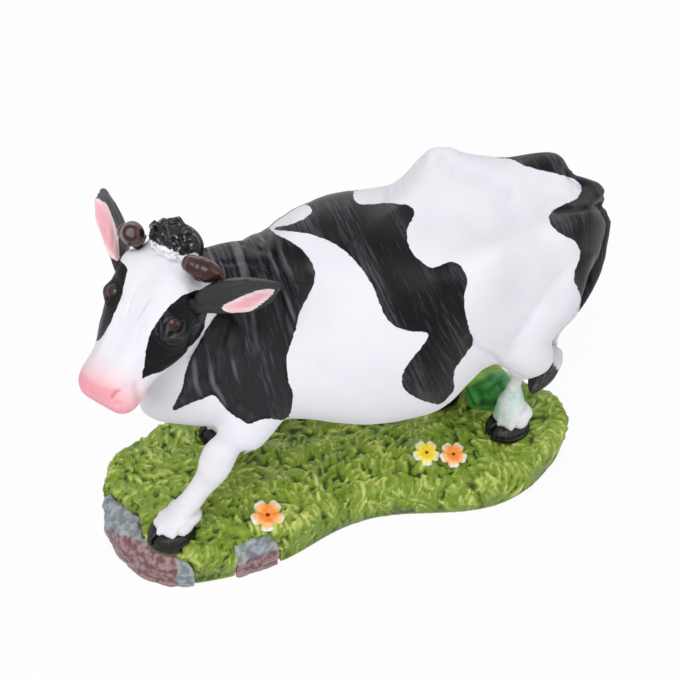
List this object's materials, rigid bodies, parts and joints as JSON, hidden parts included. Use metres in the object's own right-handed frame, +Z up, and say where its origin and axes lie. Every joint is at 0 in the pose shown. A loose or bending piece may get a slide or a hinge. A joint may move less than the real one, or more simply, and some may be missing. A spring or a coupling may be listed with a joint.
{
  "type": "cow figurine",
  "caption": "Palm-size painted resin figurine of a striding black and white horned cow on a grassy base with painted rocks and flowers.",
  "frame": {"origin": "underside of the base, under the middle of the base's length and width", "axes": "+Z up, +X along the base from head to tail, so the cow faces -X and its left side is at -Y"},
  "size_m": [0.1469, 0.0612, 0.1064],
  "materials": {
    "coat": "painted semi-matte, white with black patches",
    "face": "painted semi-matte, white and black with a pink nose",
    "horn": "glossy dark red-brown",
    "eye": "glossy dark brown",
    "hoof": "satin black",
    "grass": "painted, dry-brushed green",
    "leaf": "painted, saturated green",
    "rock": "painted, sponged blue-grey and maroon",
    "petal_orange": "painted white and orange",
    "petal_yellow": "painted white and yellow"
  },
  "bodies": {
    "root": {"base_mound": "grass", "rock_front": "rock", "rock_side": "rock", "leaf_clump": "leaf", "body": "coat", "udder": "face", "head": "face", "forelock": "coat", "tail": "coat", "tail_switch": "coat", "ear_left": "coat", "ear_right": "coat", "horn_left": "horn", "horn_right": "horn", "eye_left": "eye", "eye_right": "eye", "fore_left_leg": "coat", "fore_left_hoof": "hoof", "fore_right_leg": "coat", "fore_right_hoof": "hoof", "hind_left_leg": "coat", "hind_left_hoof": "hoof", "hind_right_leg": "coat", "hind_right_hoof": "hoof", "flower_near": "petal_orange", "flower_yellow": "petal_yellow", "flower_far": "petal_orange"}
  },
  "joints": []
}
